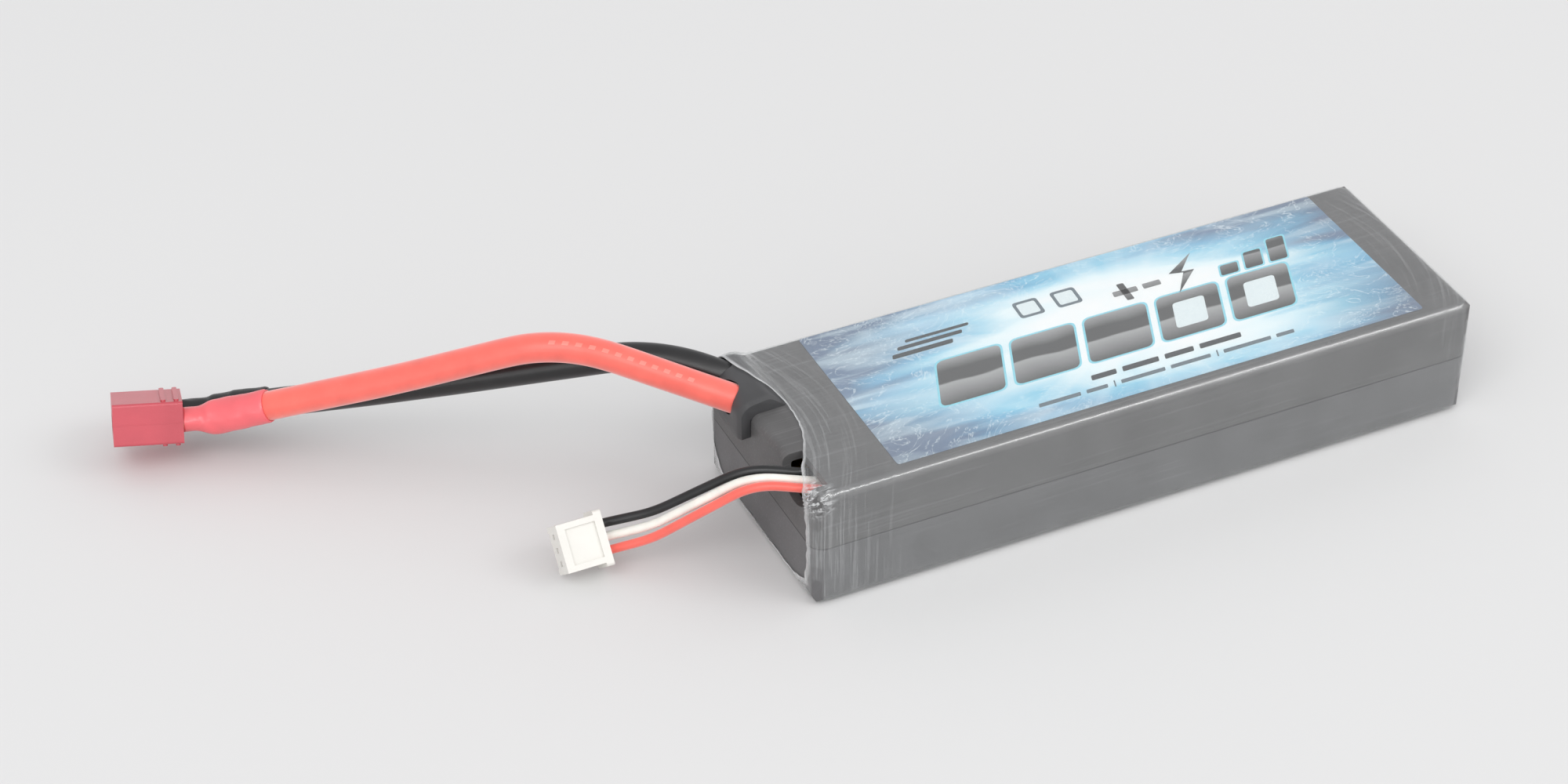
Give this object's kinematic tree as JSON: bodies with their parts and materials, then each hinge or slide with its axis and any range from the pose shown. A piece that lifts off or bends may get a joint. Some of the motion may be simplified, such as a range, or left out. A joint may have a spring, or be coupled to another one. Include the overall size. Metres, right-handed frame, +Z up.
{
  "type": "battery pack",
  "caption": "Flat hard-case rechargeable battery pack in clear film, with a printed label, a thick red and black power lead to a T-plug and a thin balance lead.",
  "frame": {"origin": "centre of the pack's bottom face", "axes": "+Z up through the label, +X along the pack away from the leads, +Y to the rear"},
  "size_m": [0.2395, 0.1023, 0.0359],
  "materials": {
    "base_plastic": "fine moulded texture, dark grey",
    "lid_plastic": "fine moulded texture, dark grey",
    "cover_plastic": "satin black",
    "sealant": "soft black bead",
    "film": "thin clear shrink film, glossy",
    "label": "printed gloss label, blue and white rays",
    "pouch_foil": "laminated pouch foil, satin",
    "aluminium_tab": "bright rolled tab",
    "nickel": "nickel plate",
    "adhesive": "white double-sided pad",
    "foam": "closed-cell foam",
    "insulator": "glass-fibre sheet",
    "board": "glass-fibre board",
    "copper": "bare copper",
    "gold": "gold-plated",
    "tape": "amber film tape",
    "solder": "bright solder",
    "red_silicone": "soft silicone, satin",
    "black_silicone": "soft silicone, satin",
    "white_silicone": "soft silicone, satin",
    "red_sleeve": "glossy shrink sleeve",
    "black_sleeve": "glossy shrink sleeve",
    "plug_red": "moulded nylon, deep red",
    "plug_white": "moulded nylon, off-white"
  },
  "bodies": {
    "pack": {"case_base": "base_plastic", "case_lid": "lid_plastic", "exit_cover": "cover_plastic", "exit_sealant": "sealant", "film_sleeve": "film", "top_label": "label", "cell_lower": "pouch_foil", "cell_upper": "pouch_foil", "cell_positive_tabs": "aluminium_tab", "cell_negative_tabs": "nickel", "cell_adhesive_pad": "adhesive", "bottom_foam_pad": "foam", "top_foam_pad": "foam", "end_foam_block": "foam", "tab_insulator": "insulator", "tab_board": "board", "positive_busbar": "copper", "negative_busbar": "copper", "series_busbar": "copper", "balance_pads": "gold", "insulating_tape": "tape", "power_solder_joints": "solder", "balance_solder_joints": "solder", "red_wire_root": "red_silicone", "black_wire_root": "black_silicone", "power_cores_root": "copper", "balance_black_root": "black_silicone", "balance_white_root": "white_silicone", "balance_red_root": "red_silicone", "balance_cores_root": "copper"},
    "power_lead": {"red_wire_mid": "red_silicone", "black_wire_mid": "black_silicone", "power_cores_mid": "copper"},
    "plug_lead": {"red_wire_end": "red_silicone", "black_wire_end": "black_silicone", "power_cores_end": "copper"},
    "plug_head": {"red_wire_tail": "red_silicone", "black_wire_tail": "black_silicone", "power_cores_tail": "copper", "red_heat_shrink": "red_sleeve", "black_heat_shrink": "black_sleeve", "plug_housing": "plug_red", "plug_contact_a": "gold", "plug_contact_b": "gold", "plug_solder_joints": "solder"},
    "spring_a": {"contact_spring_a": "gold"},
    "spring_b": {"contact_spring_b": "gold"},
    "balance_lead": {"balance_black_mid": "black_silicone", "balance_white_mid": "white_silicone", "balance_red_mid": "red_silicone", "balance_cores_mid": "copper"},
    "balance_plug": {"balance_black_tail": "black_silicone", "balance_white_tail": "white_silicone", "balance_red_tail": "red_silicone", "balance_cores_tail": "copper", "balance_terminals": "nickel", "balance_housing": "plug_white"}
  },
  "joints": [
    {"name": "power_lead_swing", "type": "hinge", "parent": "pack", "child": "power_lead", "pos_m": [-0.07554, 0.01792, 0.027], "axis": [0, 0, 1], "range_deg": [-25, 25], "stiffness_Nm_per_rad": 0.01},
    {"name": "power_lead_lift", "type": "hinge", "parent": "power_lead", "child": "plug_lead", "pos_m": [-0.10646, 0.03823, 0.02494], "axis": [0.5491, 0.8357, 0], "range_deg": [0, 30], "stiffness_Nm_per_rad": 0.01},
    {"name": "plug_bend", "type": "hinge", "parent": "plug_lead", "child": "plug_head", "pos_m": [-0.13703, 0.05832, 0.01328], "axis": [0, 0, 1], "range_deg": [-20, 20], "stiffness_Nm_per_rad": 0.01},
    {"name": "spring_a_press", "type": "slide", "parent": "plug_head", "child": "spring_a", "axis": [0.1701, 0.3993, 0.9009], "range_m": [0, 0.0003], "stiffness_N_per_m": 300},
    {"name": "spring_b_press", "type": "slide", "parent": "plug_head", "child": "spring_b", "axis": [0.1927, 0.8831, -0.4278], "range_m": [0, 0.0003]},
    {"name": "balance_lead_swing", "type": "hinge", "parent": "pack", "child": "balance_lead", "pos_m": [-0.06945, -0.01255, 0.0226], "axis": [0, 0, 1], "range_deg": [-20, 20], "stiffness_Nm_per_rad": 0.002},
    {"name": "balance_plug_lift", "type": "hinge", "parent": "balance_lead", "child": "balance_plug", "pos_m": [-0.09459, 0.00336, 0.00742], "axis": [0.5348, 0.845, 0], "range_deg": [0, 30], "stiffness_Nm_per_rad": 0.002}
  ],
  "couplings": [
    {"joint": "spring_b_press", "follows": "spring_a_press", "ratio": 1}
  ]
}
